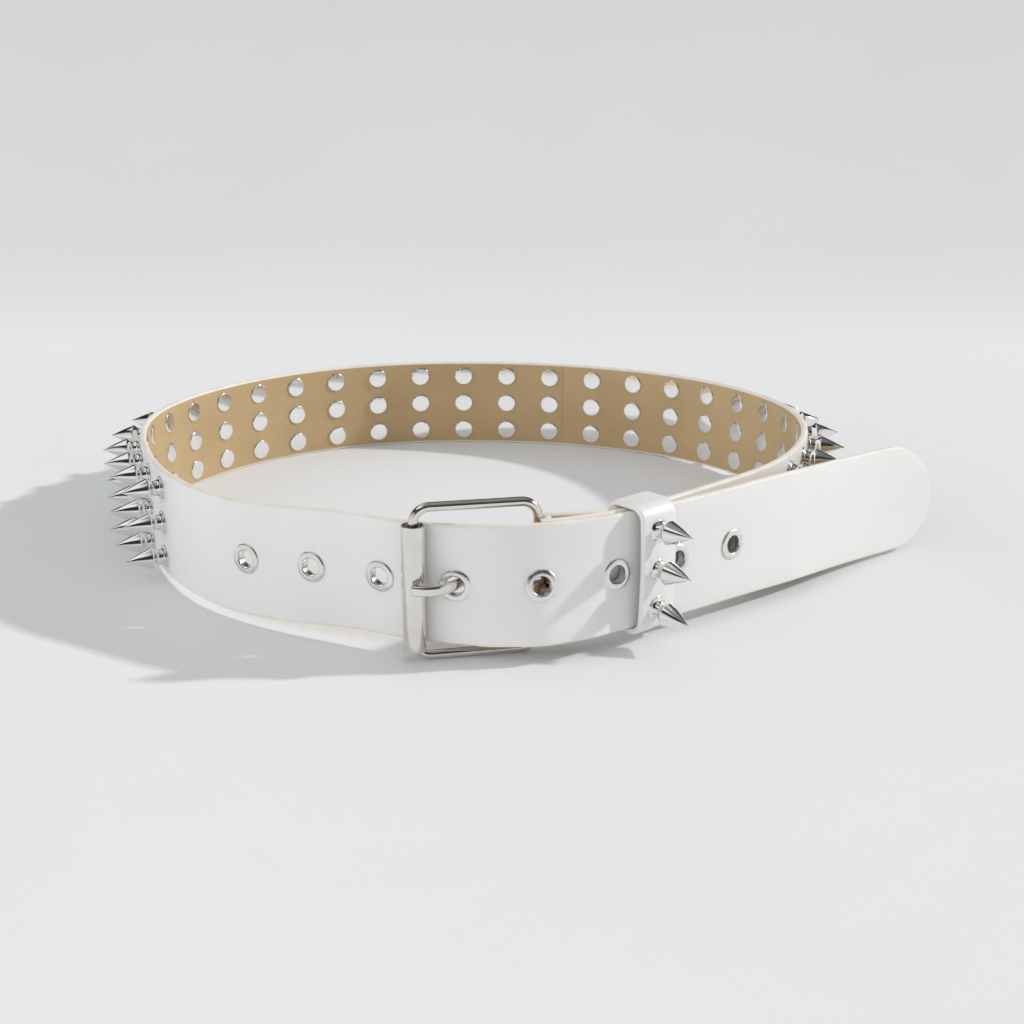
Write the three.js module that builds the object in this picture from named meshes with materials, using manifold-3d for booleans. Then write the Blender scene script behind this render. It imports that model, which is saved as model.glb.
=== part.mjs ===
// A studded leather belt, buckled, standing on its edge in an open loop.
// Millimetres, +Z up, the floor at z = 0. The buckle is at the front (-Y) and the free end goes right (+X).

import * as THREE from 'three';
import { mergeVertices } from 'three/addons/utils/BufferGeometryUtils.js';
import ManifoldModule from 'manifold-3d';

const { Manifold, Mesh: ManifoldMesh } = await initManifold();

async function initManifold() {
  const library = await ManifoldModule();
  library.setup();
  return library;
}

// Sizes

const clearance = 0.3; // between any two pieces that touch on the real belt

const strap = {
  width: 38,
  thickness: 2.4,
  tail: 210, // from the prong's eyelet to the tip
  tip: 19, // length of the rounded end
  tipRoundness: 1.9, // 2 is an ellipse
  foldBack: 47, // leather turned back behind the buckle's bar
  closeOver: 22, // from the bar to where the turned end lies flat on the strap
  layerGap: 0.6, // between the tail and the layer behind it
  sag: 0.5, // how far its middle hangs below the buckle's
};

const loop = { radius: 128 }; // the waist loop's mean radius

const eyelet = { count: 8, pitch: 25, atProng: 4, bore: 5.6, wall: 0.5, flange: 10, flangeHeight: 0.8, rim: 0.55, sides: 10 };

const stud = {
  rows: 3,
  rowPitch: 12.5,
  columnPitch: 20,
  firstColumn: 54, // from the outermost eyelet to the first column
  lastColumn: 150, // from the last column to the prong's eyelet, at least
  foot: 8.4, // diameter of the flared foot on the leather
  neck: 4.8,
  neckHeight: 2.4,
  cone: 7.4, // diameter of the cone at its widest
  coneHeight: 4.2, // where the cone is widest
  height: 14,
  head: 8.2, // the flat disc on the inside
  headHeight: 0.7,
  sides: 10,
  headSides: 8,
};

const buckle = {
  wire: 3.2,
  height: 50, // outside, across the two long wires
  corner: 4.2, // bend radius of the wire's middle line
  rollerAlong: 12.5, // the roller's bar, from the prong's eyelet towards the first eyelet
  barAlong: -25, // the fold's bar, on the other side of it
  wireSides: 8,
  cornerSteps: 4,
};

const roller = {
  wall: 0.65,
  play: 1.4, // between the wire and the tube's inside
  overBend: 2.2, // how far its lower end reaches down over the wire's bend, which carries it
  headroom: 2.2, // that it could slide up
  sides: 14,
};

const prong = { width: 3.2, depth: 2, eyeWall: 1.8, overhang: 0.6, slot: 5.6, slotReach: 9, eyeSides: 12 };

const keeper = {
  length: 15,
  thickness: 2,
  along: -61.5, // its middle, from the prong's eyelet
  headroom: 1.4, // spare height inside
  slack: 0.4, // spare depth inside
  turn: 5, // degrees that it sits askew on the strap
  corner: 2.6,
  cornerSteps: 4,
};

const keeperStud = { post: 3 };

// The waist loop seen from above: the strap's middle line, as the share of loop.radius reached every
// 20 degrees, from the front and clockwise, by way of the left side and the back.
const loopReach = [
  { turn: 0, reach: 1.038 },
  { turn: 20, reach: 0.891 },
  { turn: 40, reach: 0.917 },
  { turn: 60, reach: 0.911 },
  { turn: 80, reach: 0.926 },
  { turn: 100, reach: 1.012 },
  { turn: 120, reach: 1.034 },
  { turn: 140, reach: 1.04 },
  { turn: 160, reach: 1.041 },
  { turn: 180, reach: 1.016 },
  { turn: 200, reach: 1.033 },
  { turn: 220, reach: 1.058 },
  { turn: 240, reach: 1.034 },
  { turn: 260, reach: 1.015 },
  { turn: 280, reach: 0.972 },
  { turn: 300, reach: 0.944 },
  { turn: 320, reach: 0.929 },
  { turn: 340, reach: 1.017 },
];

// How the free end bends after the keeper: its heading in degrees, by the share of its free length.
const tailBends = [
  { along: 0, bend: 0 },
  { along: 0.2, bend: 2.3 },
  { along: 0.4, bend: 6 },
  { along: 0.6, bend: 8.8 },
  { along: 0.8, bend: 4.8 },
  { along: 1, bend: -2 },
];

// How far the strap's lower edge is off the floor, as a share of its height at the buckle,
// by the share of the loop's length from the prong's eyelet.
const lifts = [
  { along: -0.26, lift: 0.15 },
  { along: -0.13, lift: 0.9 },
  { along: -0.03, lift: 1 },
  { along: 0.03, lift: 0.85 },
  { along: 0.11, lift: 0.35 },
  { along: 0.23, lift: 0 },
  { along: 0.56, lift: 0 },
  { along: 0.8, lift: 0.7 },
  { along: 0.9, lift: 1 },
  { along: 1, lift: 1 },
];

// Worked out from the sizes

const halfThickness = strap.thickness / 2;
const buckleLift = (buckle.height - strap.width) / 2 - strap.sag;
const layerPitch = strap.thickness + strap.layerGap;
const wireRadius = buckle.wire / 2;
const foldRadius = wireRadius + clearance + halfThickness;
const barOffset = layerPitch + foldRadius;
const rollerRadius = wireRadius + roller.play + roller.wall;
const rollerOffset = halfThickness + clearance + rollerRadius;
const rollerLow = wireRadius + buckle.corner - roller.overBend;
const rollerHigh = buckle.height - rollerLow - roller.headroom;

const leather = { outer: '#f1efea', roughness: 0.42 };
const whiteLeather = new THREE.MeshStandardMaterial({ color: leather.outer, roughness: leather.roughness });
const nickel = new THREE.MeshStandardMaterial({ color: '#d9d4c8', roughness: 0.22, metalness: 1 });
const chrome = new THREE.MeshStandardMaterial({ color: '#e4e4e6', roughness: 0.12, metalness: 1 });

// Small helpers

function ease(share) {
  const t = Math.min(Math.max(share, 0), 1);
  return t * t * (3 - 2 * t);
}

// Eases from row to row of a table, by its column "along".
function easeTable(rows, column, along) {
  if (along <= rows[0].along) return rows[0][column];
  for (let i = 1; i < rows.length; i += 1) {
    if (along <= rows[i].along) {
      const share = (along - rows[i - 1].along) / (rows[i].along - rows[i - 1].along);
      return rows[i - 1][column] + (rows[i][column] - rows[i - 1][column]) * ease(share);
    }
  }
  return rows[rows.length - 1][column];
}

// A closed skin over rings with equal numbers of corners, each ring counter-clockwise seen from ahead.
function loft(rings, closed = false) {
  const corners = rings[0].length;
  const positions = rings.flat().flatMap((point) => [point.x, point.y, point.z]);
  const index = [];
  const spans = closed ? rings.length : rings.length - 1;
  for (let i = 0; i < spans; i += 1) {
    const here = i * corners;
    const next = ((i + 1) % rings.length) * corners;
    for (let j = 0; j < corners; j += 1) {
      const k = (j + 1) % corners;
      index.push(here + j, here + k, next + k);
      index.push(here + j, next + k, next + j);
    }
  }
  if (!closed) {
    const last = (rings.length - 1) * corners;
    for (let j = 1; j < corners - 1; j += 1) {
      index.push(0, j + 1, j);
      index.push(last, last + j, last + j + 1);
    }
  }
  const geometry = new THREE.BufferGeometry();
  geometry.setAttribute('position', new THREE.Float32BufferAttribute(positions, 3));
  geometry.setIndex(index);
  return geometry;
}

function toSolid(geometry) {
  const bare = geometry.clone();
  bare.deleteAttribute('uv');
  bare.deleteAttribute('normal');
  const welded = mergeVertices(bare, 1e-4);
  const mesh = new ManifoldMesh({
    numProp: 3,
    vertProperties: new Float32Array(welded.attributes.position.array),
    triVerts: new Uint32Array(welded.index.array),
  });
  const solid = new Manifold(mesh);
  return solid.volume() < 0 ? new Manifold(flipped(mesh)) : solid;
}

function flipped(mesh) {
  const triVerts = new Uint32Array(mesh.triVerts);
  for (let i = 0; i < triVerts.length; i += 3) {
    [triVerts[i + 1], triVerts[i + 2]] = [triVerts[i + 2], triVerts[i + 1]];
  }
  return new ManifoldMesh({ numProp: 3, vertProperties: mesh.vertProperties, triVerts });
}

function toMesh(name, solid, material) {
  const mesh = solid.getMesh();
  const geometry = new THREE.BufferGeometry();
  geometry.setAttribute('position', new THREE.BufferAttribute(new Float32Array(mesh.vertProperties), 3));
  geometry.setIndex(new THREE.BufferAttribute(new Uint32Array(mesh.triVerts), 1));
  geometry.computeVertexNormals();
  const piece = new THREE.Mesh(geometry, material);
  piece.name = name;
  return piece;
}

// A turned solid about its own Z axis. The profile holds [radius, height] pairs.
function turned(profile, sides) {
  const points = profile.map(([radius, height]) => new THREE.Vector2(radius, height));
  return toSolid(new THREE.LatheGeometry(points, sides).rotateX(Math.PI / 2));
}

function moved(solid, matrix) {
  return solid.transform(matrix.elements);
}

function block(sizeX, sizeY, sizeZ) {
  return toSolid(new THREE.BoxGeometry(sizeX, sizeY, sizeZ));
}

// The strap's route

class LoopCurve extends THREE.Curve {
  constructor() {
    super();
    this.arcLengthDivisions = 2000;
  }

  getPoint(t) {
    const place = t * loopReach.length;
    const row = Math.floor(place);
    const f = place - row;
    const weights = [
      (1 - f) ** 3 / 6,
      (3 * f ** 3 - 6 * f ** 2 + 4) / 6,
      (-3 * f ** 3 + 3 * f ** 2 + 3 * f + 1) / 6,
      f ** 3 / 6,
    ];
    const rows = loopReach.length;
    const reach = weights.reduce((sum, weight, i) => sum + weight * loopReach[(row - 1 + i + rows) % rows].reach, 0);
    const turn = t * 2 * Math.PI;
    return new THREE.Vector3(-Math.sin(turn), -Math.cos(turn), 0).multiplyScalar(reach * loop.radius);
  }
}

const loopCurve = new LoopCurve();
const loopLength = loopCurve.getLength();

// Along is measured on the loop from the prong's eyelet, clockwise seen from above.
function loopPlace(along) {
  const share = (((along / loopLength) % 1) + 1) % 1;
  const ahead = (share + 2e-4) % 1;
  const behind = (share + 1 - 2e-4) % 1;
  const heading = loopCurve.getPointAt(ahead).sub(loopCurve.getPointAt(behind)).normalize();
  return placed(loopCurve.getPointAt(share), heading, along);
}

function placed(point, heading, along) {
  const outward = new THREE.Vector3(-heading.y, heading.x, 0);
  const lift = buckleLift * easeTable(lifts, 'lift', along / loopLength);
  return { point, heading, outward, lift, along };
}

// The tail leaves the loop at the keeper and follows its own bends.
const tailPlaces = tailRoute();

function tailRoute() {
  const free = strap.tail + keeper.along;
  const steps = 60;
  const bends = new THREE.CubicInterpolant(
    tailBends.map((row) => row.along),
    tailBends.map((row) => row.bend),
    1,
  );
  const start = loopPlace(keeper.along);
  const places = [start];
  const point = start.point.clone();
  for (let i = 1; i <= steps; i += 1) {
    const bend = THREE.MathUtils.degToRad(bends.evaluate((i - 0.5) / steps)[0]);
    const heading = start.heading.clone().applyAxisAngle(new THREE.Vector3(0, 0, 1), bend);
    point.addScaledVector(heading, -free / steps);
    places.push(placed(point.clone(), heading, keeper.along - (free * i) / steps));
  }
  return places;
}

function tailPlace(along) {
  const free = strap.tail + keeper.along;
  const step = Math.min(((keeper.along - along) / free) * (tailPlaces.length - 1), tailPlaces.length - 1.001);
  const before = tailPlaces[Math.floor(step)];
  const after = tailPlaces[Math.floor(step) + 1];
  const share = step - Math.floor(step);
  return placed(
    before.point.clone().lerp(after.point, share),
    before.heading.clone().lerp(after.heading, share).normalize(),
    along,
  );
}

// The outer layer: the tail, then the loop.
function outerPlace(along) {
  return along < keeper.along ? tailPlace(along) : loopPlace(along);
}

const underTailFrom = 0.67; // shares of the loop's length between which the strap slips in behind the tail
const underTailTo = 0.86;

function innerPlace(along, extra = 0) {
  const place = loopPlace(along);
  const share = (along / loopLength - underTailFrom) / (underTailTo - underTailFrom);
  place.point.addScaledVector(place.outward, -(layerPitch * ease(share) + extra));
  return place;
}

// A point beside the strap's middle line, "out" towards the belt's outside.
function beside(place, out, height = 0) {
  return place.point.clone().addScaledVector(place.outward, out).setZ(height);
}

const barPlace = loopPlace(buckle.barAlong);
const barCentre = beside(barPlace, -barOffset);
const rollerPlace = loopPlace(buckle.rollerAlong);
const rollerCentre = beside(rollerPlace, rollerOffset);

// The strap

const halfFacet = 5.5; // each stud and eyelet sits on a flat facet this long to each side
const longestFacet = 9.5;

// Stops between two places, with a flat facet under each feature.
function stops(from, to, features) {
  const edges = features
    .flatMap((feature) => [feature - halfFacet, feature + halfFacet])
    .filter((edge) => edge > from + 1 && edge < to - 1);
  const marks = [from, ...edges, to];
  const list = [from];
  for (let i = 1; i < marks.length; i += 1) {
    const span = marks[i] - marks[i - 1];
    const isFacet = Math.abs(span - 2 * halfFacet) < 1e-6;
    const parts = isFacet ? 1 : Math.max(1, Math.ceil(span / longestFacet));
    for (let j = 1; j <= parts; j += 1) list.push(marks[i - 1] + (span * j) / parts);
  }
  return list;
}

const eyeletStops = Array.from({ length: eyelet.count }, (_, i) => (eyelet.atProng - 1 - i) * eyelet.pitch);
const firstStud = eyeletStops[0] + stud.firstColumn;
const studColumns = Math.floor((loopLength - stud.lastColumn - firstStud) / stud.columnPitch) + 1;
const studStops = Array.from({ length: studColumns }, (_, i) => firstStud + i * stud.columnPitch);

function section(place, halfWidth) {
  const middle = place.lift + strap.width / 2;
  const low = middle - halfWidth;
  const high = middle + halfWidth;
  return [
    beside(place, halfThickness, low),
    beside(place, -halfThickness, low),
    beside(place, -halfThickness, high),
    beside(place, halfThickness, high),
  ];
}

// The rounded tip, from its blunt end to where the strap has its full width.
function tipSections() {
  const steps = 6;
  const angles = Array.from({ length: steps }, (_, i) => ((i + 1) * Math.PI) / 2 / steps);
  return angles.map((angle) => {
    const distance = strap.tip * (1 - Math.cos(angle) / Math.cos(angles[0]));
    const share = Math.sin(angle) ** (2 / strap.tipRoundness);
    return section(outerPlace(-strap.tail + distance), (strap.width / 2) * share);
  });
}

function bandSolid() {
  const rings = tipSections();
  const tailFrom = strap.tip - strap.tail;
  const along = stops(tailFrom, foldStart, [...eyeletStops].reverse().concat(studStops)).slice(1);
  rings.push(...along.map((place) => section(place < loopLength / 2 ? outerPlace(place) : innerPlace(place), strap.width / 2)));
  return toSolid(loft(rings));
}

// The buckle end: behind the tail to the bar, half a turn round it, and back along its inside.
const barOnInner = loopLength + buckle.barAlong;
const foldStart = barOnInner - strap.foldBack - strap.closeOver / 2;

function foldSolid() {
  const half = strap.width / 2;
  const along = stops(foldStart, barOnInner, []);
  const rings = along.map((place) => section(innerPlace(place), half));
  const turns = 7;
  for (let i = 1; i < turns; i += 1) {
    const angle = -(Math.PI * i) / turns;
    const axis = new THREE.Vector3(0, 0, 1);
    const outward = barPlace.outward.clone().applyAxisAngle(axis, -angle);
    const heading = barPlace.heading.clone().applyAxisAngle(axis, -angle);
    const point = barCentre.clone().addScaledVector(outward, foldRadius);
    rings.push(section({ point, heading, outward, lift: barPlace.lift }, half));
  }
  rings.push(...stops(0, strap.foldBack, []).map((back) => section(turnedBackPlace(buckle.barAlong - back), half)));
  const fold = toSolid(loft(rings));
  const slotLength = prong.slotReach + foldRadius + strap.thickness + 2;
  const slot = block(slotLength, 4 * barOffset, prong.slot);
  const centre = barCentre.clone().addScaledVector(barPlace.heading, slotLength / 2 - prong.slotReach);
  return fold.subtract(moved(slot, upright(centre.setZ(strapMiddle(barPlace)), barPlace.heading)));
}

// The end turned back behind the inner layer: it closes up on it beyond the bar.
function turnedBackPlace(along) {
  const back = buckle.barAlong - along;
  const closed = strap.thickness + 2 * clearance;
  const apart = 2 * foldRadius + (closed - 2 * foldRadius) * ease(back / strap.closeOver);
  const place = innerPlace(loopLength + along, apart);
  place.outward.negate();
  place.heading.negate();
  return place;
}

function strapMiddle(place) {
  return place.lift + strap.width / 2;
}

// Local X along the heading, local Z up.
function upright(point, heading) {
  const side = new THREE.Vector3(-heading.y, heading.x, 0);
  return new THREE.Matrix4().makeBasis(heading, side, new THREE.Vector3(0, 0, 1)).setPosition(point);
}

// Local Z out of the strap's outer face, from its middle line.
function facing(place, height, lean = 0) {
  const up = new THREE.Vector3(0, 0, 1);
  const outward = place.outward.clone().applyAxisAngle(place.heading, THREE.MathUtils.degToRad(lean));
  const across = new THREE.Vector3().crossVectors(up, outward).normalize();
  const top = new THREE.Vector3().crossVectors(outward, across);
  return new THREE.Matrix4().makeBasis(across, top, outward).setPosition(beside(place, 0, height));
}

function studSolid() {
  const inside = -halfThickness - stud.headHeight;
  // The foot's slope goes on down into the leather, so that it is stud.foot wide at the surface.
  const footUnder = stud.foot / 2 + (halfThickness * (stud.foot - stud.neck)) / 2 / stud.neckHeight;
  const spike = turned(
    [
      [0, 0],
      [footUnder, 0],
      [stud.neck / 2, halfThickness + stud.neckHeight],
      [stud.cone / 2, halfThickness + stud.coneHeight],
      [0, halfThickness + stud.height],
    ],
    stud.sides,
  );
  const head = turned([[0, inside], [stud.head / 2, inside], [stud.head / 2, 0], [0, 0]], stud.headSides);
  return { spike, head };
}

function studdedStrap() {
  const rowHeights = Array.from({ length: stud.rows }, (_, i) => (i - (stud.rows - 1) / 2) * stud.rowPitch);
  const { spike, head } = studSolid();
  const studs = [];
  for (const along of studStops) {
    const place = along < loopLength / 2 ? outerPlace(along) : innerPlace(along);
    const flat = facetMiddle(place, along);
    for (const height of rowHeights) {
      const matrix = facing(flat, strapMiddle(place) + height);
      studs.push(moved(spike, matrix), moved(head, matrix));
    }
  }
  const hole = turned(
    [
      [0, -2 * strap.thickness],
      [holeRadius, -2 * strap.thickness],
      [holeRadius, 2 * strap.thickness],
      [0, 2 * strap.thickness],
    ],
    eyelet.sides,
  );
  const holes = eyeletStops.map((along) => moved(hole, facing(outerPlace(along), strapMiddle(outerPlace(along)))));
  const band = bandSolid().subtract(Manifold.union(holes));
  return Manifold.union([band, foldSolid(), ...studs]).simplify(0.02);
}

const holeRadius = eyelet.bore / 2 + eyelet.wall + clearance;

// The middle of the flat facet that a stud sits on, which lies just inside the curved middle line.
function facetMiddle(place, along) {
  const at = (where) => (where < loopLength / 2 ? outerPlace(where) : innerPlace(where));
  const chord = at(along - halfFacet).point.add(at(along + halfFacet).point).multiplyScalar(0.5);
  return { ...place, point: chord };
}

// The eyelets

function eyeletSolid() {
  const bore = eyelet.bore / 2;
  const seat = halfThickness + clearance;
  const top = seat + eyelet.flangeHeight;
  return turned(
    [
      [bore, seat + eyelet.rim],
      [bore, -halfThickness],
      [bore + eyelet.wall, -halfThickness],
      [bore + eyelet.wall, seat],
      [eyelet.flange / 2, seat],
      [bore + 2 * eyelet.wall, top],
      [bore, seat + eyelet.rim],
    ],
    eyelet.sides,
  );
}

function eyelets() {
  const ring = eyeletSolid();
  return eyeletStops.map((along, i) => {
    const place = outerPlace(along);
    return toMesh(`eyelet_${i + 1}`, moved(ring, facing(place, strapMiddle(place))), nickel);
  });
}

// The buckle

function ringAround(point, across, axis, radius, sides) {
  return Array.from({ length: sides }, (_, i) => {
    const angle = ((i + 0.5) * 2 * Math.PI) / sides;
    return point
      .clone()
      .addScaledVector(across, radius * Math.cos(angle))
      .addScaledVector(axis, radius * Math.sin(angle));
  });
}

// Corners of a rounded rectangle, as [x, y, angle of the outward side].
function roundedRectangle(width, height, corner, steps) {
  const centres = [[1, 1], [-1, 1], [-1, -1], [1, -1]];
  return centres.flatMap(([sx, sy], quarter) =>
    Array.from({ length: steps + 1 }, (_, i) => {
      const angle = ((quarter + i / steps) * Math.PI) / 2;
      const x = sx * (width / 2 - corner) + corner * Math.cos(angle);
      const y = sy * (height / 2 - corner) + corner * Math.sin(angle);
      return [x, y, angle];
    }),
  );
}

const buckleAcross = rollerCentre.clone().sub(barCentre).normalize();
const buckleMiddle = rollerCentre.clone().add(barCentre).multiplyScalar(0.5).setZ(buckle.height / 2);
const buckleNormal = new THREE.Vector3(-buckleAcross.y, buckleAcross.x, 0);

function buckleFrame() {
  const span = rollerCentre.distanceTo(barCentre);
  const up = new THREE.Vector3(0, 0, 1);
  const flat = wireRadius * Math.cos(Math.PI / buckle.wireSides); // the wire's flat sides, one of them on the floor
  const outline = roundedRectangle(span, buckle.height - 2 * flat, buckle.corner, buckle.cornerSteps);
  const rings = outline.map(([x, y, angle]) => {
    const point = buckleMiddle.clone().addScaledVector(buckleAcross, x).addScaledVector(up, y);
    const across = buckleAcross.clone().multiplyScalar(Math.cos(angle)).addScaledVector(up, Math.sin(angle));
    return ringAround(point, across, buckleNormal, wireRadius, buckle.wireSides);
  });
  return toSolid(loft(rings, true));
}

function rollerSolid() {
  const bore = rollerRadius - roller.wall;
  const tube = turned(
    [
      [bore, rollerLow],
      [rollerRadius, rollerLow],
      [rollerRadius, rollerHigh],
      [bore, rollerHigh],
      [bore, rollerLow],
    ],
    roller.sides,
  );
  return tube.translate([rollerCentre.x, rollerCentre.y, 0]);
}

// The prong runs behind the tail, up through its eyelet and down onto the roller.
function prongSolid() {
  const height = strapMiddle(barPlace);
  const eyeInside = wireRadius + clearance;
  const eyeMiddle = eyeInside + prong.eyeWall / 2;
  const under = halfThickness + clearance + prong.depth / 2;
  const over = rollerOffset + rollerRadius + clearance + prong.depth / 2;
  const route = [
    [buckle.barAlong, eyeMiddle - barOffset],
    [buckle.barAlong * 0.75, eyeMiddle - barOffset],
    [-2.2 * prong.depth, -under - clearance],
    [-0.75 * prong.depth, -under + clearance],
    [-0.15 * prong.depth, 0],
    [0.3 * prong.depth, under],
    [0.25 * buckle.rollerAlong, over * 0.66],
    [0.55 * buckle.rollerAlong, over * 0.93],
    [0.85 * buckle.rollerAlong, over * 1.005],
    [buckle.rollerAlong + prong.overhang, over * 1.005],
  ].map(([along, out]) => beside(loopPlace(along), out, height));
  const curve = new THREE.CatmullRomCurve3(route, false, 'centripetal');
  const steps = 16;
  const up = new THREE.Vector3(0, 0, 1);
  const rings = Array.from({ length: steps + 1 }, (_, i) => {
    const point = curve.getPointAt(i / steps);
    const heading = curve.getTangentAt(i / steps);
    const side = new THREE.Vector3(-heading.y, heading.x, 0);
    return flatOval(point, side, up, prong.depth / 2, prong.width / 2);
  });
  const body = toSolid(loft(rings));
  const eye = turned(
    [
      [0, -prong.width / 2],
      [eyeInside + prong.eyeWall, -prong.width / 2],
      [eyeInside + prong.eyeWall, prong.width / 2],
      [0, prong.width / 2],
    ],
    prong.eyeSides,
  ).translate([barCentre.x, barCentre.y, height]);
  const bore = turned([[0, -prong.width], [eyeInside, -prong.width], [eyeInside, prong.width], [0, prong.width]], prong.eyeSides)
    .translate([barCentre.x, barCentre.y, height]);
  return body.add(eye).subtract(bore);
}

// An eight-cornered section, flat on its four main sides.
function flatOval(point, side, up, halfDepth, halfWidth) {
  const cut = halfDepth * 0.45;
  const corners = [
    [halfDepth, halfWidth - cut],
    [halfDepth - cut, halfWidth],
    [cut - halfDepth, halfWidth],
    [-halfDepth, halfWidth - cut],
    [-halfDepth, cut - halfWidth],
    [cut - halfDepth, -halfWidth],
    [halfDepth - cut, -halfWidth],
    [halfDepth, cut - halfWidth],
  ];
  return corners.map(([out, rise]) => point.clone().addScaledVector(side, out).addScaledVector(up, rise));
}

// The keeper, hung on the strap's upper edge

const keeperPlace = loopPlace(keeper.along);
const studHeadRoom = stud.headHeight + 2 * clearance;
const keeperHeight = strap.width + clearance + keeper.headroom;
const keeperHeading = keeperPlace.heading.clone().applyAxisAngle(
  new THREE.Vector3(0, 0, 1),
  THREE.MathUtils.degToRad(keeper.turn),
);
const keeperOutward = new THREE.Vector3(-keeperHeading.y, keeperHeading.x, 0);

// The keeper fits round the layers inside it, as far as they reach along its outward direction and up.
const tailInside = placesInside(outerPlace);
const turnedInside = placesInside(turnedBackPlace);
const keeperFront = Math.max(...reaches(tailInside)) + studHeadRoom; // its inner face, from the tail's middle line
const keeperDepth = keeperFront - Math.min(...reaches(turnedInside)) + keeper.slack;
const highestLift = Math.max(...[...tailInside, ...turnedInside].map((place) => place.lift));
const keeperMiddleHeight = highestLift + strap.width + clearance - keeperHeight / 2;

function placesInside(placeAt) {
  const half = keeper.length / 2 + keeper.thickness;
  return [-half, -half / 2, 0, half / 2, half].map((step) => placeAt(keeper.along + step));
}

function reaches(places) {
  return places.map((place) => beside(place, halfThickness).sub(keeperPlace.point).dot(keeperOutward));
}

function keeperSolid(holes) {
  const middle = beside(keeperPlace, keeperFront - keeperDepth / 2, keeperMiddleHeight);
  const up = new THREE.Vector3(0, 0, 1);
  const outline = roundedRectangle(
    keeperDepth + 2 * keeper.thickness,
    keeperHeight + 2 * keeper.thickness,
    keeper.corner,
    keeper.cornerSteps,
  );
  const rings = outline.map(([x, y, angle]) => {
    const outer = middle.clone().addScaledVector(keeperOutward, x).addScaledVector(up, y);
    const across = keeperOutward.clone().multiplyScalar(Math.cos(angle)).addScaledVector(up, Math.sin(angle));
    const inner = outer.clone().addScaledVector(across, -keeper.thickness);
    const half = keeper.length / 2;
    return [
      outer.clone().addScaledVector(keeperHeading, -half),
      outer.clone().addScaledVector(keeperHeading, half),
      inner.clone().addScaledVector(keeperHeading, half),
      inner.clone().addScaledVector(keeperHeading, -half),
    ];
  });
  return toSolid(loft(rings, true)).subtract(holes);
}

function keeperStudMatrix(row) {
  const place = { point: beside(keeperPlace, keeperFront), heading: keeperHeading, outward: keeperOutward };
  return facing(place, keeperMiddleHeight + row * stud.rowPitch);
}

function keeperStudSolid() {
  const inside = -clearance - stud.headHeight;
  const face = keeper.thickness + clearance;
  return turned(
    [
      [0, inside],
      [stud.head / 2, inside],
      [stud.head / 2, -clearance],
      [keeperStud.post / 2, -clearance],
      [keeperStud.post / 2, face],
      [stud.foot / 2, face],
      [stud.neck / 2, face + stud.neckHeight],
      [stud.cone / 2, face + stud.coneHeight],
      [0, face + stud.height],
    ],
    stud.sides,
  );
}

function keeperAndStuds() {
  const rows = Array.from({ length: stud.rows }, (_, i) => (stud.rows - 1) / 2 - i);
  const holeProfile = [
    [0, -keeper.thickness],
    [keeperStud.post / 2 + clearance, -keeper.thickness],
    [keeperStud.post / 2 + clearance, 2 * keeper.thickness],
    [0, 2 * keeper.thickness],
  ];
  const hole = turned(holeProfile, stud.sides);
  const holes = Manifold.union(rows.map((row) => moved(hole, keeperStudMatrix(row))));
  const studs = rows.map((row, i) => toMesh(`keeper_stud_${i + 1}`, moved(keeperStudSolid(), keeperStudMatrix(row)), chrome));
  return [toMesh('keeper', keeperSolid(holes), whiteLeather), ...studs];
}

// The assembly, stood on the floor with its box centred on the origin

const belt = new THREE.Group();
belt.add(toMesh('strap', studdedStrap(), whiteLeather));
belt.add(toMesh('buckle_frame', buckleFrame(), nickel));
belt.add(toMesh('roller', rollerSolid(), nickel));
belt.add(toMesh('prong', prongSolid(), nickel));
belt.add(...keeperAndStuds());
belt.add(...eyelets());

const box = new THREE.Box3().setFromObject(belt);
belt.position.set(-(box.min.x + box.max.x) / 2, -(box.min.y + box.max.y) / 2, -box.min.z);

export default belt;
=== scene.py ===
# Studded belt, buckled and standing on its edge: the finished surfaces, the light and the camera.
# Sizes are in millimetres here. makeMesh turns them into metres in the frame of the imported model.

import math
import random
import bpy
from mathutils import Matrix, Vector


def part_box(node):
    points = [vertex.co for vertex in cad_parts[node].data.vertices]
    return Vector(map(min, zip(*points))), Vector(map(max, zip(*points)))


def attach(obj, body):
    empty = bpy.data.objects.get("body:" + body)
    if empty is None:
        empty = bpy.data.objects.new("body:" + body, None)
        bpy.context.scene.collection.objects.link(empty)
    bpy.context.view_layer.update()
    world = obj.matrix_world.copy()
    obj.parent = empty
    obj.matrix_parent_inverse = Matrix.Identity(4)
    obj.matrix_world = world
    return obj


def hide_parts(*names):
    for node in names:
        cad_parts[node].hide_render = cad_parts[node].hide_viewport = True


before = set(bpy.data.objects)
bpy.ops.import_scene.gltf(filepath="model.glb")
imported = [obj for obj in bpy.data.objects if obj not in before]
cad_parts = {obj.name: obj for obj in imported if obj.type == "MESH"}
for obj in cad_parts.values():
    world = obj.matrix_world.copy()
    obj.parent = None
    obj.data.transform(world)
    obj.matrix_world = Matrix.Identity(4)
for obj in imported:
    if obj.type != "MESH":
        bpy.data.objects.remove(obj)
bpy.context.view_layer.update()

from types import SimpleNamespace

import bmesh
import bpy
from mathutils import Matrix, Vector

metre = 0.001
up = Vector((0, 0, 1))
print("belt: packed model loaded,", len(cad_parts), "nodes")

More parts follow.
